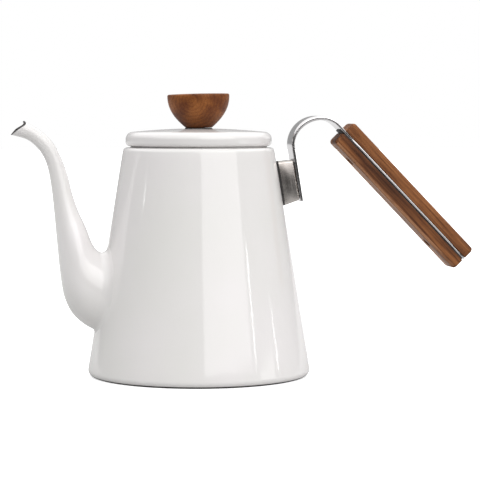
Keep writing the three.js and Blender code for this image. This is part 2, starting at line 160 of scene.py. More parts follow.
def runTree(obj, tree, values):
    modifier = obj.modifiers.new(tree.name, "NODES")
    modifier.node_group = tree
    ids = {s.name: s.identifier for s in tree.interface.items_tree if s.in_out == "INPUT"}
    for label, value in values.items():
        modifier[ids[label]] = value
    return bakeMesh(obj)


def bakeMesh(obj):
    graph = bpy.context.evaluated_depsgraph_get()
    made = bpy.data.meshes.new_from_object(obj.evaluated_get(graph))
    made.name = obj.name
    obj.modifiers.clear()
    obj.data = made
    return obj


# ---- mesh helpers


def newObject(name, points, edges=(), faces=(), material=None):
    data = bpy.data.meshes.new(name)
    data.from_pydata([tuple(p) for p in points], list(edges), [tuple(f) for f in faces])
    obj = bpy.data.objects.new(name, data)
    bpy.context.scene.collection.objects.link(obj)
    if material:
        data.materials.append(material)
    return obj


def tidyMesh(obj, sharpAngle=40, recalculate=True):
    work = bmesh.new()
    work.from_mesh(obj.data)
    bmesh.ops.remove_doubles(work, verts=work.verts, dist=weld)
    if recalculate:
        bmesh.ops.recalc_face_normals(work, faces=work.faces)
    work.to_mesh(obj.data)
    work.free()
    for face in obj.data.polygons:
        face.use_smooth = True
    obj.data.set_sharp_from_angle(angle=math.radians(sharpAngle))
    return obj


def arc(x, y, radius, start, end, steps=8):
    turn = np.linspace(start, end, steps + 1)
    return [(x + radius * math.cos(a), y + radius * math.sin(a)) for a in turn]


def fillLong(points, longest, closed):
    # extra points on long straights, so that shading stays even
    count = len(points) if closed else len(points) - 1
    filled = []
    for i in range(count):
        a, b = np.array(points[i]), np.array(points[(i + 1) % len(points)])
        parts = max(1, math.ceil(np.linalg.norm(b - a) / longest))
        filled += [tuple(a + (b - a) * k / parts) for k in range(parts)]
    return filled if closed else filled + [points[-1]]


def turned(name, profile, material, facets=pot["facets"], closed=True, longest=6.0, lift=0.0):
    # profile points are (radius, height); core is the little circle that they are swept round
    core = 1.0
    points = fillLong(profile, longest, closed)
    flat = [((r - core) * mm, -(z + lift) * mm, 0.0) for r, z in points]
    last = len(flat) if closed else len(flat) - 1
    edges = [(i, (i + 1) % len(flat)) for i in range(last)]
    obj = newObject(name, flat, edges)
    runTree(obj, turnedTree, {"Facets": facets, "Core": core * mm, "Material": material})
    return tidyMesh(obj)


def ringSkin(name, rings, material, closedLoop=False):
    # rings of equal count, joined in order; closedLoop joins the last to the first
    count = len(rings[0])
    points = np.concatenate(rings) * mm
    faces = []
    last = len(rings) if closedLoop else len(rings) - 1
    for r in range(last):
        a, b = r * count, ((r + 1) % len(rings)) * count
        faces += [(a + s, a + (s + 1) % count, b + (s + 1) % count, b + s) for s in range(count)]
    if not closedLoop:
        faces.append(tuple(range(count - 1, -1, -1)))
        faces.append(tuple(range((len(rings) - 1) * count, len(rings) * count)))
    return newObject(name, points, faces=faces, material=material)


def roundedRect(low, high, radii, steps=5, between=0):
    # corners in the order high/low, high/high, low/high, low/low of (across, up)
    corners = [
        (high[0] - radii[0], low[1] + radii[0], radii[0], -0.5),
        (high[0] - radii[1], high[1] - radii[1], radii[1], 0.0),
        (low[0] + radii[2], high[1] - radii[2], radii[2], 0.5),
        (low[0] + radii[3], low[1] + radii[3], radii[3], 1.0),
    ]
    turns = [arc(x, y, radius, start * math.pi, (start + 0.5) * math.pi, steps)
             for x, y, radius, start in corners]
    points = []
    for i, turn in enumerate(turns):
        points += turn
        points += [tuple(p) for p in np.linspace(turn[-1], turns[(i + 1) % 4][0], between + 2)[1:-1]]
    return np.array(points)


def cutWith(obj, *cutters):
    for cutter in cutters:
        modifier = obj.modifiers.new("cut", "BOOLEAN")
        modifier.operation = "DIFFERENCE"
        modifier.solver = "EXACT"
        modifier.object = cutter
    bakeMesh(obj)
    for cutter in cutters:
        bpy.data.objects.remove(cutter)
    return obj


def evenShading(obj):
    modifier = obj.modifiers.new("evenShading", "WEIGHTED_NORMAL")
    modifier.keep_sharp = True
    modifier.weight = 80
    return bakeMesh(obj)


def movePoints(obj, matrix):
    obj.data.transform(matrix)
    return obj


def finishPiece(obj, body, slot, *nodes):
    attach(obj, body)
    if nodes:
        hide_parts(*nodes)
    print("piece", obj.name, "on", body, len(obj.data.polygons), "faces")
    return obj


# ---- finishes


def linear(red, green, blue):
    # from the 0-255 values of a paint chart
    def one(value):
        value /= 255
        return value / 12.92 if value <= 0.04045 else ((value + 0.055) / 1.055) ** 2.4
    return (one(red), one(green), one(blue), 1.0)


class Maker:
    # adds nodes to a tree; an input takes a value or another node's output
    def __init__(self, tree):
        self.nodes, self.links = tree.nodes, tree.links

    def put(self, socket, value):
        if isinstance(value, bpy.types.NodeSocket):
            self.links.new(value, socket)
        else:
            socket.default_value = value

    def add(self, kind, values=None, **settings):
        node = self.nodes.new(kind)
        for key, value in settings.items():
            setattr(node, key, value)
        for key, value in (values or {}).items():
            self.put(node.inputs[key], value)
        return node

    def math(self, operation, a, b=0.0):
        return self.add("ShaderNodeMath", {0: a, 1: b}, operation=operation).outputs[0]

    def span(self, value, fromLow, fromHigh, toLow, toHigh, **settings):
        values = {
            "Value": value, "From Min": fromLow, "From Max": fromHigh, "To Min": toLow, "To Max": toHigh}
        return self.add("ShaderNodeMapRange", values, **settings).outputs[0]


class Finish(Maker):
    def __init__(self, name):
        self.material = bpy.data.materials.new(name)
        self.material.use_nodes = True
        super().__init__(self.material.node_tree)
        self.shader = self.nodes["Principled BSDF"]
        self.place = self.add("ShaderNodeTexCoord").outputs["Object"]

    def mapped(self, origin=(0, 0, 0), turn=(0, 0, 0), scale=(1, 1, 1), source=None):
        # the point seen from a frame that stands at origin, turned; scale squeezes it
        frameNode = self.add("ShaderNodeMapping", {
            "Vector": source or self.place, "Location": origin, "Rotation": turn}, vector_type="TEXTURE")
        stretch = self.add("ShaderNodeMapping", {"Vector": frameNode.outputs[0], "Scale": scale})
        return stretch.outputs[0]

    def noise(self, vector, scale, detail=3.0, roughness=0.5):
        node = self.add("ShaderNodeTexNoise", {
            "Vector": vector, "Scale": scale, "Detail": detail, "Roughness": roughness})
        return node.outputs["Fac"]

    def ramp(self, value, stops):
        node = self.add("ShaderNodeValToRGB", {"Fac": value})
        steps = node.color_ramp.elements
        while len(steps) < len(stops):
            steps.new(0.5)
        for step, (position, colour) in zip(steps, stops):
            step.position = position
            step.color = colour
        return node.outputs["Color"]

    def mix(self, factor, a, b, blend="MIX"):
        values = {0: factor, 6: a, 7: b}
        return self.add("ShaderNodeMix", values, data_type="RGBA", blend_type=blend).outputs[2]

    def bump(self, height, distance, under=None):
        values = {"Height": height, "Distance": distance, "Strength": 1.0}
        if under:
            values["Normal"] = under
        return self.add("ShaderNodeBump", values).outputs[0]

    def wire(self, **sockets):
        for label, value in sockets.items():
            self.put(self.shader.inputs[label.replace("_", " ")], value)
        return self.material


def enamelFinish():
    look = {
        "pale": linear(230, 227, 227),
        "cool": linear(225, 224, 221),
        "gloss": (0.05, 0.11),
        "waveSize": 34.0,  # noise scale of the slow unevenness of the glaze
        "waveHeight": 0.00012,
        "peelSize": 420.0,
        "peelHeight": 0.000004,
        "speckSize": 900.0,
        "speckShare": 0.06,
        "speck": linear(190, 186, 178),
        "patchSize": 14.0,
    }
    f = Finish("whiteEnamel")
    slow = f.noise(f.place, look["waveSize"], 2.0)
    patch = f.noise(f.place, look["patchSize"], 4.0)
    peel = f.noise(f.place, look["peelSize"], 2.0)
    speck = f.span(f.noise(f.place, look["speckSize"], 0.0), 0.78, 0.84, 0.0, look["speckShare"])
    colour = f.ramp(patch, [(0.3, look["cool"]), (0.7, look["pale"])])
    colour = f.mix(speck, colour, look["speck"])
    normal = f.bump(slow, look["waveHeight"])
    normal = f.bump(peel, look["peelHeight"], under=normal)
    rough = f.span(patch, 0.2, 0.8, *look["gloss"])
    return f.wire(Base_Color=colour, Roughness=rough, Normal=normal, IOR=1.6)


def bareEdgeFinish():
    look = {"dark": linear(18, 15, 14), "worn": linear(44, 37, 34), "grainSize": 350.0}
    f = Finish("bareEdge")
    grain = f.noise(f.place, look["grainSize"], 5.0, 0.65)
    colour = f.ramp(grain, [(0.35, look["dark"]), (0.7, look["worn"])])
    rough = f.span(grain, 0.2, 0.8, 0.3, 0.55)
    normal = f.bump(grain, 0.00006)
    return f.wire(Base_Color=colour, Roughness=rough, Normal=normal)


def steelFinish(name, origin, turn, look):
    # brushed lines run along the frame's x
    f = Finish(name)
    local = f.mapped(origin, turn, (18.0, 700.0, 700.0))
    line = f.noise(local, 1.0, 4.0, 0.6)
    cloud = f.noise(f.place, look["cloudSize"], 3.0)
    colour = f.ramp(cloud, [(0.3, look["dark"]), (0.7, look["light"])])
    rough = f.math("ADD", f.span(line, 0.3, 0.7, *look["rough"]), f.span(cloud, 0.3, 0.7, 0.0, 0.04))
    normal = f.bump(line, look["lineHeight"])
    return f.wire(Base_Color=colour, Roughness=rough, Normal=normal, Metallic=1.0)


def brassFinish():
    f = Finish("turnedBrass")
    ring = f.noise(f.mapped(scale=(300.0, 300.0, 2400.0)), 1.0, 3.0)
    colour = f.ramp(ring, [(0.3, linear(168, 128, 58)), (0.7, linear(204, 168, 92))])
    return f.wire(Base_Color=colour, Roughness=f.span(ring, 0.2, 0.8, 0.22, 0.42),
                  Normal=f.bump(ring, 0.00002), Metallic=1.0)


def rubberFinish():
    f = Finish("darkRubber")
    grain = f.noise(f.place, 1800.0, 4.0, 0.7)
    dust = f.noise(f.place, 160.0, 3.0)
    colour = f.ramp(dust, [(0.3, linear(34, 32, 32)), (0.75, linear(62, 59, 58))])
    rough = f.span(grain, 0.2, 0.8, 0.5, 0.75)
    return f.wire(Base_Color=colour, Roughness=rough, Normal=f.bump(grain, 0.00005))


def woodFinish(name, origin, turn, look):
    # rings stand round an axis along the frame's x, which passes through the pith
    f = Finish(name)
    local = f.mapped(origin, turn)
    wander = f.noise(f.mapped(scale=look["wanderScale"], source=local), 1.0, 2.0)
    parts = f.add("ShaderNodeSeparateXYZ", {0: local})
    across = f.math("SUBTRACT", parts.outputs[1], look["pith"][0])
    up = f.math("SUBTRACT", parts.outputs[2], look["pith"][1])
    away = f.math("SQRT", f.math("ADD", f.math("MULTIPLY", across, across), f.math("MULTIPLY", up, up)))
    away = f.math("ADD", away, f.span(wander, 0.0, 1.0, -look["wander"], look["wander"]))
    ring = f.math("FRACT", f.math("DIVIDE", away, look["spacing"]))
    fibre = f.noise(f.mapped(scale=look["fibreScale"], source=local), 1.0, 4.0, 0.6)
    pore = f.noise(f.mapped(scale=look["poreScale"], source=local), 1.0, 2.0, 0.5)
    patch = f.noise(f.mapped(scale=look["patchScale"], source=local), 1.0, 3.0)
    body = f.ramp(patch, [(0.36, look["deep"]), (0.5, look["middle"]), (0.64, look["pale"])])
    bands = f.ramp(ring, [
        (0.0, look["early"]), (0.55, look["plain"]), (0.9, look["late"]), (1.0, look["early"])])
    colour = f.mix(look["ringShare"], body, bands, "MULTIPLY")
    colour = f.mix(f.span(fibre, 0.4, 0.62, 0.0, look["fibreShare"]), colour, look["fibre"], "MULTIPLY")
    colour = f.mix(f.span(pore, 0.62, 0.72, 0.0, look["poreShare"]), colour, look["pore"])
    # painted shade: a look with a foot darkens the colour towards the bottom, where less light falls
    if "foot" in look:
        low, high, shade = look["foot"]
        height = f.add("ShaderNodeSeparateXYZ", {0: f.place}).outputs[2]
        colour = f.mix(f.span(height, low, high, 1.0, 0.0), colour, shade, "MULTIPLY")
    height = f.math("SUBTRACT", f.math("MULTIPLY", fibre, 0.6), f.span(pore, 0.62, 0.72, 0.0, 0.8))
    normal = f.bump(height, look["grainHeight"])
    rough = f.span(fibre, 0.3, 0.7, *look["rough"])
    return f.wire(Base_Color=colour, Roughness=rough, Normal=normal, IOR=1.4, Specular_IOR_Level=0.35)


# ---- the handle's frames: on the pot's wall, and at the top of the grip

handle = {
    "height": 121.5,  # of the frame's origin, on the wall
    "strapWidth": 17.0,
    "strapThickness": 1.8,
    "strapOffset": 10.65,
    "legBottom": -13.5,
    "arcHeight": 19.9,
    "arcRadius": 17.9,
    "crownExtra": 1.3,
    "slope": math.radians(46),
}
handle["turn"] = math.pi / 2 + lean + handle["slope"]
wallFrame = Matrix.Translation((coneRadius(handle["height"]) * mm, 0, handle["height"] * mm))
wallFrame = wallFrame @ Matrix.Rotation(-lean, 4, "Y")
arcCentre = (handle["strapOffset"] + handle["arcRadius"], handle["arcHeight"])
arcEnd = arc(*arcCentre, handle["arcRadius"], math.pi, math.pi - handle["turn"], 1)[1]
gripFrame = wallFrame @ Matrix.Translation((arcEnd[0] * mm, 0, arcEnd[1] * mm))
gripFrame = gripFrame @ Matrix.Rotation(lean + handle["slope"], 4, "Y")
gripOrigin = tuple(gripFrame.translation)
gripTurn = (0.0, handle["slope"], 0.0)
knobTop = nodeBox("lid_knob")[1][2]

whiteEnamel = enamelFinish()
bareEdge = bareEdgeFinish()
polishedSteel = steelFinish("polishedSteel", tuple(wallFrame.translation), (0.0, math.pi / 2 - lean, 0.0), {
    "dark": linear(172, 165, 160), "light": linear(206, 201, 196), "cloudSize": 60.0,
    "rough": (0.14, 0.2), "lineHeight": 0.0000015})
strapSteel = steelFinish("strapSteel", gripOrigin, gripTurn, {
    "dark": linear(200, 198, 198), "light": linear(220, 218, 219), "cloudSize": 60.0,
    "rough": (0.1, 0.15), "lineHeight": 0.000001})
screwSteel = steelFinish("screwSteel", (0, 0, 0), (0, 0, 0), {
    "dark": linear(150, 147, 143), "light": linear(186, 183, 179), "cloudSize": 200.0,
    "rough": (0.2, 0.35), "lineHeight": 0.00001})
turnedBrass = brassFinish()
darkRubber = rubberFinish()
knobWood = woodFinish("knobWood", (0.0, 0.0, (knobTop - 4.5) * mm), (0.0, 0.0, math.radians(80.5)), {
    "pith": (0.004, 0.0), "spacing": 0.0021, "wander": 0.0016, "wanderScale": (70.0, 190.0, 190.0),
    "patchScale": (20.0, 110.0, 110.0), "fibreScale": (300.0, 1500.0, 1500.0),
    "poreScale": (400.0, 2400.0, 2400.0),
    "deep": linear(112, 60, 24), "middle": linear(136, 80, 36), "pale": linear(158, 98, 48),
    "early": (1.0, 1.0, 1.0, 1.0), "plain": (0.86, 0.84, 0.8, 1.0), "late": (0.5, 0.43, 0.36, 1.0),
    "ringShare": 0.6, "fibre": (0.62, 0.52, 0.42, 1.0), "fibreShare": 0.6,
    "pore": linear(60, 30, 12), "poreShare": 0.6,
    # painted shade: the knob darkens towards its foot, under the overhang of its bowl
    "foot": ((knobTop - 22.0) * mm, (knobTop - 11.0) * mm, (0.5, 0.44, 0.38, 1.0)),
    "grainHeight": 0.00006, "rough": (0.42, 0.6)})
gripLook = {
    "pith": (0.022, -0.034), "spacing": 0.0024, "wander": 0.0024, "wanderScale": (9.0, 90.0, 90.0),
    "patchScale": (18.0, 120.0, 120.0), "fibreScale": (48.0, 1300.0, 1300.0),
    "poreScale": (130.0, 2200.0, 2200.0),
    "deep": linear(90, 52, 27), "middle": linear(128, 79, 43), "pale": linear(156, 101, 58),
    "early": (1.0, 1.0, 1.0, 1.0), "plain": (0.82, 0.79, 0.76, 1.0), "late": (0.42, 0.36, 0.32, 1.0),
    "ringShare": 0.7, "fibre": (0.52, 0.45, 0.38, 1.0), "fibreShare": 0.75,
    "pore": linear(58, 30, 16), "poreShare": 0.7,
    "grainHeight": 0.00008, "rough": (0.5, 0.68)}
gripWood = woodFinish("gripWood", gripOrigin, gripTurn, gripLook)
# the lower half's underside is painted paler: a painted sheen for the floor's light on it
wornWood = woodFinish("wornWood", gripOrigin, gripTurn, {
    **gripLook, "deep": linear(150, 104, 74), "middle": linear(184, 134, 98), "pale": linear(204, 156, 118),
    "rough": (0.4, 0.55)})
print("finishes made")


# ---- pot


def makePot():
    foot = (coneRadius(pot["footRadius"], pot["footRadius"]), pot["footRadius"])
    innerFoot = pot["footRadius"] - pot["wall"]
    shoulderHeight = pot["height"] - pot["shoulderRadius"]
    shoulder = (coneRadius(shoulderHeight, pot["shoulderRadius"]), shoulderHeight)
    bend = (pot["mouthRadius"] + pot["mouthBend"], pot["height"] - pot["mouthBend"])
    neckEnd = pot["height"] - pot["neckDepth"]

    def seamAngle(radius):
        return math.asin((pot["seamHeight"] - pot["footRadius"]) / radius)

    half, full = math.pi / 2, math.pi
    profile = [
        *arc(*foot, pot["footRadius"], seamAngle(pot["footRadius"]), lean, 8),
        *arc(*shoulder, pot["shoulderRadius"], lean, half, 10),
        *arc(*bend, pot["mouthBend"], half, full, 8),
        (pot["mouthRadius"], neckEnd),
        (pot["mouthRadius"] + pot["wall"], neckEnd),
        *arc(*bend, pot["mouthBend"] - pot["wall"], full, half, 6),
        *arc(*shoulder, pot["shoulderRadius"] - pot["wall"], half, lean, 8),
        *arc(*foot, innerFoot, lean, seamAngle(innerFoot), 8),
    ]
    obj = turned("pot", profile, whiteEnamel)
    hole = {"radius": 12.0, "height": 53.0, "reach": (-80.0, -20.0)}
    cutter = newObject("spoutHole", *holeShape(hole["radius"], *hole["reach"]))
    movePoints(cutter, Matrix.Translation((0, 0, hole["height"] * mm)))
    cutWith(obj, cutter)
    tidyMesh(obj, 35, recalculate=False)
    return finishPiece(obj, "pot", "enamel", "body_shell")


def holeShape(radius, start, end, steps=48):
    # a closed rod along x, for cutting
    turn = np.linspace(0, 2 * math.pi, steps, endpoint=False)
    circle = [(radius * math.cos(a) * mm, radius * math.sin(a) * mm) for a in turn]
    ends = [[(x * mm, *p) for p in circle] for x in (start, end)]
    faces = [(i, (i + 1) % steps, steps + (i + 1) % steps, steps + i) for i in range(steps)]
    caps = [tuple(range(steps - 1, -1, -1)), tuple(range(steps, 2 * steps))]
    return ends[0] + ends[1], (), faces + caps


def makeBase():
    base = {
        "thickness": 1.2, "flangeRadius": 66.7, "flangeHeight": 3.4,
        "grooveInner": 48.0, "grooveOuter": 60.0, "grooveDepth": 0.6, "gap": 0.12, "flangeRise": 0.3,
    }
    foot = (coneRadius(pot["footRadius"], pot["footRadius"]), pot["footRadius"])
    rim = pot["seamHeight"] - base["gap"]
    rimAngle = math.asin((rim - pot["footRadius"]) / pot["footRadius"])
    depth, thick = base["grooveDepth"], base["thickness"]
    profile = [
        (0.0, 0.0),
        (base["grooveInner"], 0.0),
        (base["grooveInner"] + depth, depth),
        (base["grooveOuter"] - depth, depth),
        (base["grooveOuter"], 0.0),
        *arc(*foot, pot["footRadius"], -math.pi / 2, rimAngle, 8),
        (base["flangeRadius"], rim + base["flangeRise"]),
        (base["flangeRadius"], base["flangeHeight"]),
        (base["flangeRadius"] - thick, base["flangeHeight"]),
        (base["flangeRadius"] - thick, thick),
        (base["grooveOuter"], thick),
        (base["grooveOuter"] - depth, thick + depth),
        (base["grooveInner"] + depth, thick + depth),
        (base["grooveInner"], thick),
        (0.0, thick),
    ]
    obj = turned("basePlate", profile, bareEdge, closed=False)
    return finishPiece(obj, "pot", "bare_edge", "base_plate")


# ---- spout

spout = {
    "wall": 1.0,
    "rows": 150,
    "columns": 96,
    "rootAspect": 0.8,  # width over height where it leaves the pot
    "roundFrom": 0.5,
    "smoothing": 0.012,  # share of the length over which the edges are evened out
    "filletTop": 5.5,
    "filletSide": 4.5,
    "filletBottom": 2.0,
    "sink": 0.25,  # how far the root's edge goes into the pot's wall
    "fadeOut": (0.5, 0.12),  # share of the length where the fillet ends, and where it starts to fade
    "lipCut": 9.0,
    "lipShape": (0.6, 2.9),
    "rowPace": (0.35, 2.2),  # crowds the rows towards the root
    "innerGap": 0.3,
    "probe": 3.0,  # depth under the skin that shows which way is out
    "blend": 1.6,  # fillets over which the skin leaves the pot's wall
    "skirt": 0.6,
    "rim": 0.5,  # length of the dark edge at the mouth
    "back": [
        (-57, 27), (-69, 31), (-79.5, 39.5), (-84.8, 50), (-87, 61.5), (-88.4, 74), (-89.7, 88.5),
        (-91.2, 105.5), (-93, 121.5), (-95.8, 134.6), (-100.7, 143.2), (-107.2, 148.8), (-117.6, 151.9),
    ],
    "front": [
        (-50, 77), (-60.5, 77.4), (-65.4, 80.8), (-68.2, 85.5), (-70.4, 91.5), (-73.2, 98), (-76.4, 105),
        (-79.9, 115.5), (-82.6, 126.5), (-86.2, 137), (-92.2, 147.8), (-100.3, 155.3), (-109.5, 160.6),
    ],
}


def centripetal(points, share):
    # a smooth curve through the points, at a share of its length
    points = np.array(points, float)
    last = len(points) - 1
    place = min(max(share, 0.0), 1.0) * last
    i = min(int(place), last - 1)
    t = place - i
    p1, p2 = points[i], points[i + 1]
    p0 = points[i - 1] if i > 0 else 2 * points[0] - points[1]
    p3 = points[i + 2] if i + 2 <= last else 2 * points[last] - points[last - 1]
    d0, d1, d2 = (max(np.linalg.norm(b - a), 1e-6) ** 0.5 for a, b in ((p0, p1), (p1, p2), (p2, p3)))
    t1 = ((p1 - p0) / d0 - (p2 - p0) / (d0 + d1) + (p2 - p1) / d1) * d1
    t2 = ((p2 - p1) / d1 - (p3 - p1) / (d1 + d2) + (p3 - p2) / d2) * d1
    return p1 + t1 * t + (-3 * p1 + 3 * p2 - 2 * t1 - t2) * t * t + (2 * p1 - 2 * p2 + t1 + t2) * t ** 3


def evenedEdge(points, samples=601):
    share = np.linspace(0, 1, samples)
    line = np.array([centripetal(points, s) for s in share])
    spread = spout["smoothing"] * samples
    reach = int(3 * spread)
    weight = np.exp(-0.5 * (np.arange(-reach, reach + 1) / spread) ** 2)
    weight /= weight.sum()
    ahead = 2 * line[-1] - line[-2:-reach - 2:-1]
    behind = 2 * line[0] - line[reach:0:-1]
    longer = np.concatenate([behind, line, ahead])
    return share, np.column_stack([np.convolve(longer[:, k], weight, "valid") for k in range(2)])


def smooth(low, high, value):
    t = np.clip((value - low) / (high - low), 0, 1)
    return t * t * (3 - 2 * t)


def fromCone(p):
    # distance outside the pot's cone
    return (np.hypot(p[..., 0], p[..., 1]) - coneRadius(p[..., 2])) / slant


def squareToCone(p):
    radius = np.hypot(p[..., 0], p[..., 1])
    out = [p[..., 0] / radius, p[..., 1] / radius, np.full_like(radius, pot["taper"])]
    return np.stack(out, -1) / slant


def settle(p, distance):
    # moves points square to the cone until they stand at a distance from it
    for _ in range(3):
        p = p + squareToCone(p) * (distance - fromCone(p))[..., None]
    return p


def makeSpout():
    share, back = evenedEdge(spout["back"])
    _, front = evenedEdge(spout["front"])

    def skinPoint(along, turn, inset):
        b = np.stack([np.interp(along, share, back[:, k]) for k in range(2)], -1)
        f = np.stack([np.interp(along, share, front[:, k]) for k in range(2)], -1)
        centre, rise = (b + f) / 2, (f - b) / 2
        half = np.linalg.norm(rise, axis=-1, keepdims=True)
        aspect = spout["rootAspect"] + (1 - spout["rootAspect"]) * smooth(0, spout["roundFrom"], along)
        width = half[..., 0] * aspect - inset
        side = centre + rise / half * (half - inset) * np.cos(turn)[..., None]
        return np.stack([side[..., 0], width * np.sin(turn), side[..., 1]], -1)

    turn = np.linspace(0, 2 * np.pi, spout["columns"], endpoint=False)

    def firstOutside(inset, distance):
        # where each column leaves the pot's wall
        low, high = np.zeros_like(turn), np.full_like(turn, 0.5)
        for _ in range(40):
            middle = (low + high) / 2
            out = fromCone(skinPoint(middle, turn, inset)) > distance
            high, low = np.where(out, middle, high), np.where(out, low, middle)
        return high

    fraction = (1 - np.cos(turn)) / 2
    low, high = spout["lipShape"]
    lipCut = spout["lipCut"] * fraction ** low * (1 - fraction) ** high
    step = 0.02
    before, end = (skinPoint(np.full_like(turn, share), turn, 0) for share in (1 - step, 1))
    mouthStep = np.linalg.norm(end - before, axis=-1) / step
    mouthEnd = 1 - lipCut / mouthStep

    def column(inset, start, steps):
        # rows close together at the root, where the fillet turns
        pace = np.linspace(0, 1, steps)
        crowd, power = spout["rowPace"]
        pace = crowd * pace ** power + (1 - crowd) * pace
        along = start[None, :] + (mouthEnd - start)[None, :] * pace[:, None]
        return along, skinPoint(along, np.broadcast_to(turn, along.shape), inset)

    start = firstOutside(0.0, 0.0)
    along, outer = column(0.0, start, spout["rows"])
    distance = np.maximum(fromCone(outer), 0)
    upward, sideways = np.cos(turn), np.abs(np.sin(turn))
    fillet = np.where(upward > 0, spout["filletTop"], spout["filletBottom"]) * upward ** 2
    fillet = fillet + spout["filletSide"] * sideways ** 2
    reach = np.clip(distance / fillet[None, :], 0, 1)
    flare = fillet[None, :] * (1 - np.sqrt(np.clip(1 - (1 - reach) ** 2, 0, 1)))
    flare = flare * smooth(*spout["fadeOut"], along - start[None, :])
    away = outer - skinPoint(along, np.broadcast_to(turn, along.shape), spout["probe"])
    out = squareToCone(outer)
    away = away - out * (away * out).sum(-1, keepdims=True)
    away /= np.maximum(np.linalg.norm(away, axis=-1, keepdims=True), 1e-6)
    moved = settle(outer + away * flare[..., None], fromCone(outer))
    near = smooth(fillet[None, :] * spout["blend"], fillet[None, :], fromCone(outer))[..., None]
    outer = moved * near + (outer + away * flare[..., None]) * (1 - near)
    edge = settle(outer[0] + away[0] * spout["skirt"], -spout["sink"])

    # the edge at the mouth is rounded over from the outer skin to the inner
    lip = []
    for step in np.linspace(0, np.pi, 7)[1:-1]:
        inset = spout["wall"] / 2 * (1 - math.cos(step))
        ahead = spout["wall"] / 2 * math.sin(step)
        lip.append(skinPoint(mouthEnd + ahead / mouthStep, turn, inset))
    innerStart = firstOutside(spout["wall"], spout["innerGap"])
    _, inner = column(spout["wall"], innerStart, spout["rows"] // 2)
    band = skinPoint(mouthEnd - spout["rim"] / mouthStep, turn, 0)
    rings = [edge, *outer[:-1], band, outer[-1], *lip, *inner[::-1]]
    obj = ringSkin("spout", rings, whiteEnamel, closedLoop=True)
    obj.data.materials.append(bareEdge)
    # the rows from the band, over the lip, to just inside are bare
    first, last = (row * spout["columns"] for row in (spout["rows"], spout["rows"] + len(lip) + 3))
    for face in obj.data.polygons[first:last]:
        face.material_index = 1
    tidyMesh(obj, 60)
    return finishPiece(obj, "pot", "enamel", "spout")


# ---- lid and knob

lid = {
    "seat": nodeBox("lid_collar")[0][2] + 6.8,  # its collar hangs 6.8 below the edge
    "wall": 1.0, "radius": 45.9, "sideTop": 45.9, "cornerRadius": 4.6, "cornerHeight": 4.2,
    "domeTop": 10.9, "beadRadius": 2.3, "beadHeight": 2.2, "boltHole": 2.4,
    "steamHole": 1.5, "steamOffset": 30.0,
}


def makeLid():
    centre = lid["sideTop"] - lid["cornerRadius"]
    rise = lid["domeTop"] - lid["cornerHeight"] - lid["cornerRadius"]
    dome = (centre ** 2 + rise ** 2) / (2 * rise)

    def domeHeight(radius):
        return lid["domeTop"] - dome + math.sqrt(dome ** 2 - radius ** 2)

    radii = np.linspace(lid["boltHole"], centre, 14)[:-1]
    tilt = math.pi / 2 - math.asin(centre / dome)
    bead = (lid["radius"] - lid["beadRadius"], lid["beadHeight"])
    inner = lid["cornerRadius"] - lid["wall"]
    profile = [
        *[(r, domeHeight(r)) for r in radii],
        *arc(centre, lid["cornerHeight"], lid["cornerRadius"], tilt, 0, 12),
        *arc(*bead, lid["beadRadius"], 0, -math.pi, 20),
        *arc(centre, lid["cornerHeight"], inner, 0, tilt, 10),
        *[(r, domeHeight(r) - lid["wall"]) for r in radii[::-1]],
    ]
    obj = turned("lid", profile, whiteEnamel, lift=lid["seat"])
    cutter = newObject("steamHole", *holeShape(lid["steamHole"], -20.0, 20.0, 32))
    movePoints(cutter, Matrix.Rotation(math.pi / 2, 4, "Y"))
    movePoints(cutter, Matrix.Translation((0, lid["steamOffset"] * mm, (lid["seat"] + lid["domeTop"]) * mm)))
    cutWith(obj, cutter)
    tidyMesh(obj, 35, recalculate=False)
    return finishPiece(obj, "lid", "enamel", "lid_shell")


def makeCollar():
    collar = {
        "radius": 40.0, "wall": 1.0, "depth": 6.8, "top": 7.4,
        "flangeRadius": 42.9, "flange": (-1.05, -0.1), "flangeEdge": 0.4,
    }
    inner, low, high = collar["radius"] - collar["wall"], *collar["flange"]
    half, quarterTurn = collar["wall"] / 2, math.pi / 2
    flange = (collar["flangeRadius"] - collar["flangeEdge"], (low + high) / 2)
    profile = [
        *arc(collar["radius"] - half, half - collar["depth"], half, -math.pi, 0, 8),
        (collar["radius"], low),
        *arc(*flange, (high - low) / 2, -quarterTurn, quarterTurn, 6),
        (collar["radius"], high),
        (collar["radius"], collar["top"]),
        (inner, collar["top"]),
    ]
    obj = turned("lidCollar", profile, whiteEnamel, lift=lid["seat"])
    return finishPiece(obj, "lid", "enamel", "lid_collar")


def bezier(points, steps):
    p0, p1, p2, p3 = (np.array(p) for p in points)
    return [tuple((1 - t) ** 3 * p0 + 3 * (1 - t) ** 2 * t * p1 + 3 * (1 - t) * t * t * p2 + t ** 3 * p3)
            for t in np.linspace(0, 1, steps + 1)]


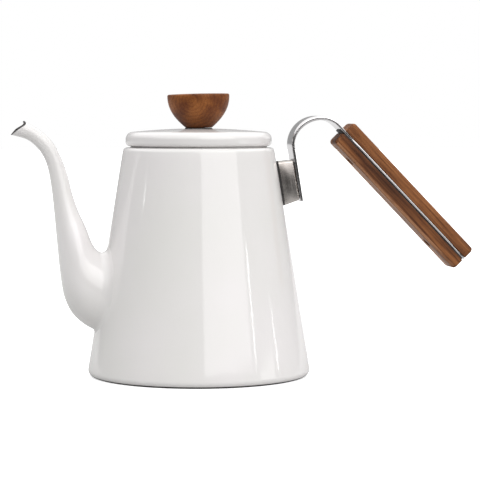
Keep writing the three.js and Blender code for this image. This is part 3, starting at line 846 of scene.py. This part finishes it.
def makeKnob():
    knob = {
        "base": 11.35, "height": 21.45, "radius": 19.5, "baseRadius": 8.2, "flare": (5.6, 4.9),
        "sideHeight": 10.6, "edgeRadius": 1.1, "bore": (3.8, 13.0), "crown": 0.35,
        "tilt": math.radians(-1.3),  # it stands a little crooked on its screw
    }
    base, top = knob["base"], knob["base"] + knob["height"]
    edge = knob["edgeRadius"]
    side = bezier([
        (knob["baseRadius"], base),
        (knob["baseRadius"] + knob["flare"][0], base + knob["flare"][1]),
        (knob["radius"], base + knob["sideHeight"]),
        (knob["radius"], top - edge - knob["crown"]),
    ], 40)
    bore, boreTop = knob["bore"][0], base + knob["bore"][1]
    profile = [
        (0.0, boreTop), (bore, boreTop), (bore, base), (knob["baseRadius"] - 0.4, base),
        (knob["baseRadius"] - 0.1, base + 0.12), *side[1:],
        *arc(knob["radius"] - edge, top - edge - knob["crown"], edge, 0, math.pi / 2, 8)[1:],
        *[(r, top - knob["crown"] * (r / knob["radius"]) ** 2)
          for r in np.linspace(knob["radius"] - 3, 0, 8)],
    ]
    obj = turned("lidKnob", profile, knobWood, facets=144, closed=False, longest=3.0, lift=lid["seat"])
    middle = Matrix.Translation((0, 0, (lid["seat"] + base + knob["height"] / 2) * mm))
    movePoints(obj, middle @ Matrix.Rotation(knob["tilt"], 4, "Y") @ middle.inverted())
    return finishPiece(obj, "lid", "knob_wood", "lid_knob")


def makeKnobWasher():
    washer = {"outer": 8.6, "inner": 2.3, "edge": 0.12, "sink": 0.12, "top": 11.3}
    outer, inner, edge = washer["outer"], washer["inner"], washer["edge"]
    low, high = lid["seat"] + lid["domeTop"] - washer["sink"], lid["seat"] + washer["top"]
    profile = [
        (inner, low), (outer - edge, low), (outer, low + edge), (outer, high - edge),
        (outer - edge, high), (inner, high),
    ]
    obj = turned("knobWasher", profile, darkRubber, facets=96)
    return finishPiece(obj, "lid", "dark_rubber", "knob_washer")


# ---- bracket and strap

bracket = {
    "width": 18.0, "depth": 10.35, "back": (-14.6, 13.4), "front": (-12.7, 12.7), "wall": 1.1,
    "gasket": 0.9, "gap": 0.15, "edgeRadius": 1.35, "innerRadius": 0.4, "bulge": 0.8,
    "backStep": 0.6,
}


def wallBow(y):
    # how far the round wall falls back at a distance from the middle
    radius = coneRadius(handle["height"])
    return np.sqrt(radius ** 2 - y ** 2) - radius


def bracketRing(x, inset, radius, follow=None):
    # one section of the bracket, square to the wall; follow is a distance from the wall instead
    t = x / bracket["depth"]
    low = bracket["back"][0] + (bracket["front"][0] - bracket["back"][0]) * t + inset
    high = bracket["back"][1] + (bracket["front"][1] - bracket["back"][1]) * t - inset
    half = bracket["width"] / 2 - inset
    section = roundedRect((-half, low), (half, high), [max(radius, 0.05)] * 4, 6, between=12)
    across = np.full(len(section), x) if follow is None else follow + wallBow(section[:, 0])
    middle, rise = (low + high) / 2, (high - low) / 2
    swell = bracket["bulge"] * (1 - ((section[:, 1] - middle) / rise) ** 2)
    swell = swell * math.sin(math.pi * min(max(t, 0), 1)) ** 0.5
    section[:, 0] += np.sign(section[:, 0]) * np.clip(swell, 0, None) * (np.abs(section[:, 0]) > half - 1.5)
    return np.column_stack([across, section[:, 0], section[:, 1]])


def makeBracket():
    radius, wall, depth = bracket["edgeRadius"], bracket["wall"], bracket["depth"]
    step, innerRadius = bracket["backStep"], bracket["innerRadius"]
    back = bracket["gasket"] + 2 * bracket["gap"]
    outer = [bracketRing(back, 0, radius, follow=back)]
    outer += [bracketRing(x, 0, radius) for x in np.linspace(back + step, depth - radius, 5)]
    for a in np.linspace(0, math.pi / 2, 7)[1:]:
        inset = radius * (1 - math.cos(a))
        outer.append(bracketRing(depth - radius + radius * math.sin(a), inset, radius - inset + 0.02))
    inner = [bracketRing(x, wall, innerRadius) for x in (depth - wall, back + step)]
    inner.append(bracketRing(back, wall, innerRadius, follow=back))
    obj = ringSkin("handleBracket", outer + inner, polishedSteel, closedLoop=True)
    count = len(outer[0])
    frontRow = (len(outer) - 1) * count
    work = bmesh.new()
    work.from_mesh(obj.data)
    work.verts.ensure_lookup_table()
    work.faces.ensure_lookup_table()
    # the faces between the outer and inner front give way to a flat front on each
    bmesh.ops.delete(work, geom=work.faces[frontRow:frontRow + count], context="FACES_ONLY")
    work.verts.ensure_lookup_table()
    work.faces.new([work.verts[frontRow + k] for k in range(count)])
    work.faces.new([work.verts[frontRow + count + k] for k in range(count - 1, -1, -1)])
    work.to_mesh(obj.data)
    work.free()
    movePoints(obj, wallFrame)
    tidyMesh(obj, 50)
    evenShading(obj)
    return finishPiece(obj, "pot", "polished_steel", "handle_bracket")


def makeGasket():
    gasket = {
        "edge": 0.2, "edgeInset": 0.25, "edgeCorner": 1.2, "corner": 1.35, "border": 2.5, "innerCorner": 0.5,
    }
    low, high = bracket["gap"], bracket["gap"] + bracket["gasket"]
    outline = [
        (gasket["edgeInset"], gasket["edgeCorner"], low), (0.0, gasket["corner"], low + gasket["edge"]),
        (0.0, gasket["corner"], high - gasket["edge"]), (gasket["edgeInset"], gasket["edgeCorner"], high),
        (gasket["border"], gasket["innerCorner"], high), (gasket["border"], gasket["innerCorner"], low),
    ]
    rings = [bracketRing(low, inset, corner, follow=place) for inset, corner, place in outline]
    obj = ringSkin("bracketGasket", rings, darkRubber, closedLoop=True)
    movePoints(obj, wallFrame)
    tidyMesh(obj, 50)
    return finishPiece(obj, "pot", "dark_rubber", "bracket_gasket")


def makeStrap():
    strap = {
        "edgeRadius": 0.4, "arcRound": 0.46, "gripThickness": 1.5, "endInset": 0.6, "endStep": 0.3,
        "thinning": (0.7, 0.3),  # share of the arc where it starts, and over which it goes on
        "seamRound": 0.7, "seamWidth": 18.9, "seamStart": (12, 20), "seamEnd": (5, 12),
        "legRows": 14, "arcRows": 64, "gripRows": 40,
    }
    lastRun = grip["start"] + grip["length"] - strap["endInset"]
    thinFrom, thinOver = strap["thinning"]
    width, thick = handle["strapWidth"], handle["strapThickness"]
    stations = []  # outer line, inward direction, thickness, roundness of the edges, width
    for z in np.linspace(handle["legBottom"], handle["arcHeight"], strap["legRows"])[:-1]:
        stations.append(((handle["strapOffset"], z), (1.0, 0.0), thick, strap["edgeRadius"], width))
    steps = strap["arcRows"]
    for i, a in enumerate(np.linspace(math.pi, math.pi - handle["turn"], steps + 1)):
        outward = np.array([math.cos(a), math.sin(a)])
        place = np.array(arcCentre) + handle["arcRadius"] * outward
        crown = handle["crownExtra"] * math.sin(math.pi * i / steps) ** 2
        late = max(0.0, i / steps - thinFrom) / thinOver
        deep = thick + crown - (thick - strap["gripThickness"]) * late
        share = min(1.0, 4 * i / steps, 4 * (1 - i / steps))
        edge = strap["edgeRadius"] + (strap["arcRound"] * deep - strap["edgeRadius"]) * share
        stations.append((place, -outward, deep, edge, width))
    ahead = np.array([-stations[-1][1][1], stations[-1][1][0]])
    ahead = ahead if ahead[0] > 0 else -ahead
    seamStart, seamEnd = strap["seamStart"], strap["seamEnd"]
    for run in np.linspace(0, lastRun, strap["gripRows"])[1:]:
        place = np.array(arcEnd) + ahead * run
        rounded = smooth(*seamStart, run) * smooth(lastRun - seamEnd[0], lastRun - seamEnd[1], run)
        edge = strap["edgeRadius"] + (strap["seamRound"] - strap["edgeRadius"]) * rounded
        wide = width + (strap["seamWidth"] - width) * rounded
        stations.append((place, stations[-1][1], strap["gripThickness"], edge, wide))

    def ring(station, inset, shift):
        (px, pz), (nx, nz), deep, radius, wide = station
        half = wide / 2 - inset
        section = roundedRect((-half, inset), (half, deep - inset), [radius] * 4, 8)
        return np.column_stack([
            px + nx * section[:, 1] + shift[0],
            section[:, 0],
            pz + nz * section[:, 1] + shift[1],
        ])

    rings = [ring(s, 0, (0, 0)) for s in stations]
    step = strap["endStep"]
    rings.insert(0, ring(stations[0], step, (0, -step)))
    rings.append(ring(stations[-1], step, ahead * step))
    obj = ringSkin("handleStrap", rings, strapSteel)
    movePoints(obj, wallFrame)
    tidyMesh(obj, 50)
    evenShading(obj)
    return finishPiece(obj, "pot", "polished_steel", "handle_strap")


def makeRivets():
    rivet = {
        "shank": 1.6, "headRadius": 3.0, "headHeight": 1.2, "tail": (2.6, 0.8), "spacing": 14.0,
        "tailGap": 0.1, "headGap": 0.02,
    }
    inner = bracket["depth"] - bracket["wall"] - rivet["tailGap"]
    outer = handle["strapOffset"] + handle["strapThickness"] + rivet["headGap"]
    dome = [(rivet["headRadius"] * math.cos(a), outer + rivet["headHeight"] * math.sin(a))
            for a in np.linspace(0, math.pi / 2, 9)]
    profile = [
        (0.0, inner - rivet["tail"][1]), (rivet["tail"][0], inner - rivet["tail"][1]),
        (rivet["tail"][0], inner), (rivet["shank"], inner), (rivet["shank"], outer), *dome,
    ]
    pattern = turned("rivetPattern", profile, screwSteel, facets=48, closed=False)
    movePoints(pattern, Matrix.Rotation(math.pi / 2, 4, "Y"))
    places = [wallFrame @ Vector((0, 0, side * rivet["spacing"] / 2 * mm)) for side in (1, -1)]
    obj = newObject("handleRivets", places)
    turn = tuple(wallFrame.to_euler())
    runTree(obj, fixingsTree, {"Fixing": pattern, "Turn": turn, "Material": screwSteel})
    bpy.data.objects.remove(pattern)
    tidyMesh(obj, 40)
    return finishPiece(obj, "pot", "screw_steel", "handle_rivet_upper", "handle_rivet_lower")


# ---- grip

grip = {
    "start": 5.4, "length": 113.6, "width": 19.0, "edgeRadius": 2.3, "mateRadius": 0.35,
    "upper": (0.06, 7.7), "lower": (-10.3, -2.35), "spacer": (-2.3, -1.56),
    "screwPlaces": (17.2, 90.6), "recessRadius": 2.9, "recessDepth": 4.0, "recessLip": 0.35,
    "screwClearance": 2.0, "cutPast": 3.0,
    "tab": 2.2, "tabHalf": 6.5,
}


def gripHalf(name, span, side):
    # side is 1 for the half on the strap's outer face, -1 for the other
    radius, small = grip["edgeRadius"], grip["mateRadius"]
    low, high = span
    end = grip["start"] + grip["length"]

    def ring(x, insetFar, insetMate):
        half = grip["width"] / 2 - insetFar
        bottom = low + (insetMate if side > 0 else insetFar)
        top = high - (insetFar if side > 0 else insetMate)
        far, mate = max(radius - insetFar * 0.6, 0.3), max(small, 0.05)
        radii = [mate, far, far, mate] if side > 0 else [far, mate, mate, far]
        section = roundedRect((-half, bottom), (half, top), radii, 7)
        return np.column_stack([np.full(len(section), x), section[:, 0], section[:, 1]])

    def roundedEnd(place, direction, angles):
        return [ring(place + direction * radius * (1 - math.sin(a)), radius * (1 - math.cos(a)),
                     small * (1 - math.cos(a))) for a in angles]

    turn = np.linspace(0, math.pi / 2, 8)
    rings = roundedEnd(grip["start"], 1, turn[::-1])
    rings += [ring(x, 0, 0) for x in np.linspace(grip["start"] + radius, end - radius, 24)[1:-1]]
    rings += roundedEnd(end, -1, turn)
    obj = ringSkin(name, rings, gripWood)
    obj.data.materials.append(wornWood)
    for face in obj.data.polygons:
        # faces on the lower half's underside get the paler wood: a painted sheen
        face.material_index = int(side < 0 and face.normal.z < -0.25 and abs(face.normal.x) < 0.3)
    return tidyMesh(obj, 50)


def makeGrip():
    upper = gripHalf("gripUpper", grip["upper"], 1)
    lower = gripHalf("gripLower", grip["lower"], -1)
    r, lip, clear, past = (grip[key] for key in ("recessRadius", "recessLip", "screwClearance", "cutPast"))
    bottom = grip["lower"][0]
    floor, top = bottom + grip["recessDepth"], 1.0
    profile = [
        (0.0, bottom - past), (r + lip + past, bottom - past), (r + lip, bottom), (r, bottom + lip),
        (r, floor), (clear, floor), (clear, top), (0.0, top),
    ]
    cutters = []
    for place in grip["screwPlaces"]:
        cutter = turned("recess", profile, gripWood, facets=48, closed=False)
        cutters.append(movePoints(cutter, Matrix.Translation(((grip["start"] + place) * mm, 0, 0))))
    cutWith(lower, *cutters)
    for obj, nodes in ((upper, "grip_upper"), (lower, "grip_lower")):
        movePoints(obj, gripFrame)
        tidyMesh(obj, 50, recalculate=False)
        evenShading(obj)
        finishPiece(obj, "pot", "grip_wood", nodes)


def makeSpacer():
    spacer = {
        "sideInset": 0.1, "endInset": 1.0, "rootInset": 0.8, "corner": 0.5, "tabCorner": 0.8,
        "bevel": 0.12,
    }
    low, high = grip["spacer"]
    half = handle["strapWidth"] / 2 - spacer["sideInset"]
    tabHalf, root = grip["tabHalf"], grip["start"] + spacer["rootInset"]
    end = grip["start"] + grip["length"] - spacer["endInset"]
    corner, tabCorner = spacer["corner"], spacer["tabCorner"]
    tabEnd = grip["start"] - grip["tab"] + tabCorner
    outline = [
        *arc(end - corner, half - corner, corner, math.pi / 2, 0, 4),
        *arc(end - corner, corner - half, corner, 0, -math.pi / 2, 4),
        (root, -half), (root, -tabHalf),
        *arc(tabEnd, tabCorner - tabHalf, tabCorner, -math.pi / 2, -math.pi, 5),
        *arc(tabEnd, tabHalf - tabCorner, tabCorner, math.pi, math.pi / 2, 5),
        (root, tabHalf), (root, half),
    ]
    rings = [np.array([(x, y, z) for x, y in outline]) for z in (low, high)]
    obj = ringSkin("gripSpacer", rings, darkRubber)
    bevel = obj.modifiers.new("edge", "BEVEL")
    bevel.width, bevel.segments, bevel.limit_method = spacer["bevel"] * mm, 2, "ANGLE"
    bakeMesh(obj)
    movePoints(obj, gripFrame)
    tidyMesh(obj, 40)
    return finishPiece(obj, "pot", "dark_rubber", "grip_spacer")


def makeGripScrews():
    screw = {
        "shank": 1.6, "headRadius": 2.6, "headHeight": 2.0, "headEdge": 0.5, "headGap": 0.05,
        "socket": 1.45, "socketDepth": 1.2, "tip": 4.6,
    }
    top = grip["lower"][0] + grip["recessDepth"] - screw["headGap"]
    bottom = top - screw["headHeight"]
    edge = screw["headEdge"]
    profile = [
        (0.0, bottom), (screw["headRadius"] - edge, bottom),
        *arc(screw["headRadius"] - edge, bottom + edge, edge, -math.pi / 2, 0, 5)[1:],
        (screw["headRadius"], top), (screw["shank"], top), (screw["shank"], screw["tip"]),
        (0.0, screw["tip"]),
    ]
    pattern = turned("screwPattern", profile, screwSteel, facets=48, closed=False)
    socket = newObject("socket", *holeShape(screw["socket"], -screw["socketDepth"], screw["socketDepth"], 6))
    movePoints(socket, Matrix.Translation((0, 0, bottom * mm)) @ Matrix.Rotation(math.pi / 2, 4, "Y"))
    cutWith(pattern, socket)
    places = [gripFrame @ Vector(((grip["start"] + x) * mm, 0, 0)) for x in grip["screwPlaces"]]
    obj = newObject("gripScrews", places)
    turn = tuple(gripFrame.to_euler())
    runTree(obj, fixingsTree, {"Fixing": pattern, "Turn": turn, "Material": screwSteel})
    bpy.data.objects.remove(pattern)
    tidyMesh(obj, 40, recalculate=False)
    return finishPiece(obj, "pot", "screw_steel", "grip_screw_front", "grip_screw_rear")


for make in (makePot, makeBase, makeSpout, makeLid, makeCollar, makeKnob, makeKnobWasher, makeBracket,
             makeGasket, makeStrap, makeRivets, makeGrip, makeSpacer, makeGripScrews):
    make()

# the small hidden pieces keep their shape from the frame
keptNodes = {
    "knob_insert": turnedBrass, "grip_insert_front": turnedBrass, "grip_insert_rear": turnedBrass,
    "knob_screw": screwSteel, "knob_screw_washer": screwSteel, "bracket_nut_plate": screwSteel,
    "bracket_screw_upper": screwSteel, "bracket_screw_lower": screwSteel,
    "bracket_screw_washer_upper": darkRubber, "bracket_screw_washer_lower": darkRubber,
}
for nodeName, material in keptNodes.items():
    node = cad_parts[nodeName]
    node.data.materials.clear()
    node.data.materials.append(material)
print("kept nodes finished:", len(keptNodes))


# ---- floor, light and camera

studio = {
    "floorBack": 8.0,
    "floorFront": -0.6,  # the sheet ends in front of the kettle
    "floorHalf": 6.0,
    "floorTone": 0.84,
    "floorGlow": 0.62,
    "bounceTone": 0.45,  # what the kettle gets back from the sheet
    "bounceGlow": (0.04, 0.32),  # in front, behind
    "bounceFrom": (-0.1, 0.6),  # where front ends and behind starts
    "skyRise": (0.15, 0.6),  # height, as a share, at which the sky starts and is full
    "horizonSpan": (-0.7, 1.0),
    "sideShare": 0.2,
    "topSky": 1.5,
    "darkHorizon": 0.06,  # towards the front
    "paleHorizon": 0.4,
    "lights": [
        # name, place, aim height, size across, size up, watts, colour
        ("keyLight", (0.66, -1.57, 1.03), 0.3, 1.9, 1.5, 15.8, (1.0, 0.985, 0.985)),
        ("firstStrip", (1.2, -0.905, 0.307), 0.1, 0.03, 0.16, 0.14, (1.0, 1.0, 1.0)),
        ("secondStrip", (1.48, -0.24, 0.178), 0.1, 0.03, 0.09, 0.07, (1.0, 1.0, 1.0)),
        ("thirdStrip", (-1.5, -0.05, 0.415), 0.1, 0.03, 0.028, 0.025, (1.0, 1.0, 1.0)),
        ("lowStrip", (1.1, -0.5, 0.085), 0.1, 0.4, 0.15, 0.3, (1.0, 0.99, 0.98)),
    ],
}


def makeFloor():
    half, front, back = studio["floorHalf"], studio["floorFront"], studio["floorBack"]
    corners = [(-half, front, 0), (half, front, 0), (half, back, 0), (-half, back, 0)]
    obj = newObject("floor", corners, faces=[(0, 1, 2, 3)])
    f = Finish("floorPaper")
    seen = f.add("ShaderNodeLightPath").outputs["Is Camera Ray"]
    depth = f.add("ShaderNodeSeparateXYZ", {0: f.place}).outputs[1]
    bounce = f.span(depth, *studio["bounceFrom"], *studio["bounceGlow"])
    glow = f.math("MAXIMUM", bounce, f.math("MULTIPLY", seen, studio["floorGlow"]))
    tooth = f.span(f.noise(f.place, 900.0, 3.0), 0.3, 0.7, -0.03, 0.03)
    tone = f.math("ADD", tooth, f.span(seen, 0.0, 1.0, studio["bounceTone"], studio["floorTone"]))
    grey = f.add("ShaderNodeCombineColor", {0: tone, 1: tone, 2: tone}).outputs[0]
    obj.data.materials.append(f.wire(
        Base_Color=grey, Roughness=0.9, Specular_IOR_Level=0.0,
        Emission_Color=(1.0, 1.0, 1.0, 1.0), Emission_Strength=glow))


def makeSky():
    world = bpy.data.worlds.new("studio")
    bpy.context.scene.world = world
    world.use_nodes = True
    sky = Maker(world.node_tree)
    sky.nodes.clear()
    soft = {"interpolation_type": "SMOOTHSTEP"}
    direction = sky.add("ShaderNodeTexCoord").outputs["Generated"]
    parts = sky.add("ShaderNodeSeparateXYZ", {0: direction}).outputs
    overhead = sky.span(parts[2], *studio["skyRise"], 0.0, studio["topSky"], **soft)
    side = sky.math("ADD", sky.math("MULTIPLY", parts[0], studio["sideShare"]), parts[1])
    horizon = sky.span(side, *studio["horizonSpan"], studio["darkHorizon"], studio["paleHorizon"], **soft)
    white = (1.0, 1.0, 1.0, 1.0)
    level = sky.math("MAXIMUM", overhead, horizon)
    lighting = sky.add("ShaderNodeBackground", {"Color": white, "Strength": level}).outputs[0]
    seen = sky.add("ShaderNodeBackground", {"Color": white}).outputs[0]
    camera = sky.add("ShaderNodeLightPath").outputs["Is Camera Ray"]
    choose = sky.add("ShaderNodeMixShader", {0: camera, 1: lighting, 2: seen}).outputs[0]
    sky.add("ShaderNodeOutputWorld", {"Surface": choose})


def makeLights():
    for name, place, aimHeight, across, up, watts, colour in studio["lights"]:
        data = bpy.data.lights.new(name, "AREA")
        data.shape = "RECTANGLE"
        data.size, data.size_y = across, up
        data.energy = watts
        data.color = colour
        obj = bpy.data.objects.new(name, data)
        bpy.context.scene.collection.objects.link(obj)
        obj.location = place
        obj.rotation_euler = (Vector((0, 0, aimHeight)) - Vector(place)).to_track_quat("-Z", "Y").to_euler()


def makeCamera():
    low, high = cadBox
    middle = (low + high) / 2
    view = {"yaw": 9.5, "drop": 3.633, "distance": 1.2518, "lens": 148.2, "aside": 0.0018, "below": 0.0037}
    aim = Vector((middle.x - view["aside"], 0.0, middle.z - view["below"]))
    data = bpy.data.cameras.new("camera")
    data.lens = view["lens"]
    data.clip_start = 0.05
    obj = bpy.data.objects.new("camera", data)
    bpy.context.scene.collection.objects.link(obj)
    turn = Euler((math.radians(90 - view["drop"]), 0, math.radians(-view["yaw"])))
    obj.rotation_euler = turn
    obj.location = aim + turn.to_matrix() @ Vector((0, 0, view["distance"]))
    bpy.context.scene.camera = obj
    print("camera at", [round(v, 4) for v in obj.location])


makeFloor()
makeSky()
makeLights()
makeCamera()
bpy.context.scene.view_settings.view_transform = "Standard"
print("studio ready")
